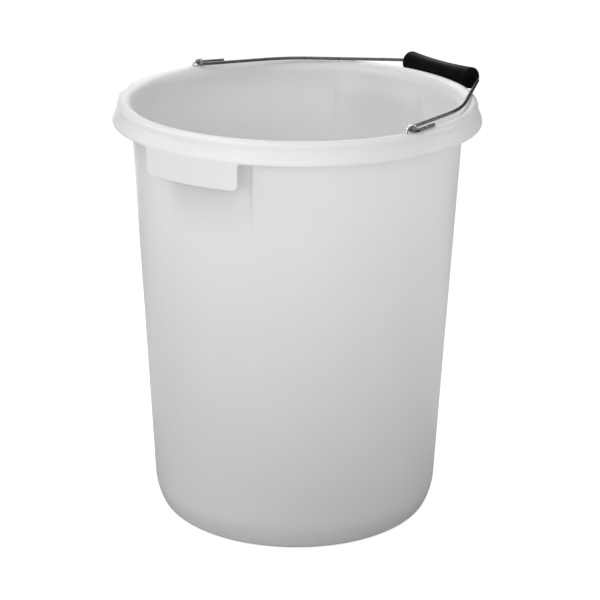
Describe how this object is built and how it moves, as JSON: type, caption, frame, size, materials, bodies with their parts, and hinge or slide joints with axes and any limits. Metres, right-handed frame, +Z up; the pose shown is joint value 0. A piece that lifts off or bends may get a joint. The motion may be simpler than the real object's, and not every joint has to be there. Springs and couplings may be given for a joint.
{
  "type": "mixing bucket",
  "caption": "Tall tapered plastic mixing bucket with a rolled rim, finger tabs under the rim, and a wire bail with a loose hand grip.",
  "frame": {"origin": "centre of the foot ring, on the plane that the bucket stands on", "axes": "+Z up the bucket's axis; X along the bail's swing axis, from the left eye to the right; +Y towards the hand grip as the bail lies in the picture"},
  "size_m": [0.362, 0.3781, 0.4369],
  "materials": {
    "bucket_plastic": "satin milky white moulded polythene",
    "bright_wire": "bright drawn steel wire",
    "grip_plastic": "black moulded plastic with a slight sheen"
  },
  "bodies": {
    "bucket": {"bucket_body": "bucket_plastic", "left_eye": "bright_wire", "right_eye": "bright_wire"},
    "bail": {"bail_wire": "bright_wire"},
    "grip": {"hand_grip": "grip_plastic"}
  },
  "joints": [
    {"name": "bail_swing", "type": "hinge", "parent": "bucket", "child": "bail", "pos_m": [0, 0, 0.426], "axis": [1, 0, 0], "range_deg": [0, 180]},
    {"name": "grip_spin", "type": "hinge", "parent": "bail", "child": "grip", "pos_m": [0, 0.1862, 0.426], "axis": [1, 0, 0], "continuous": true}
  ]
}
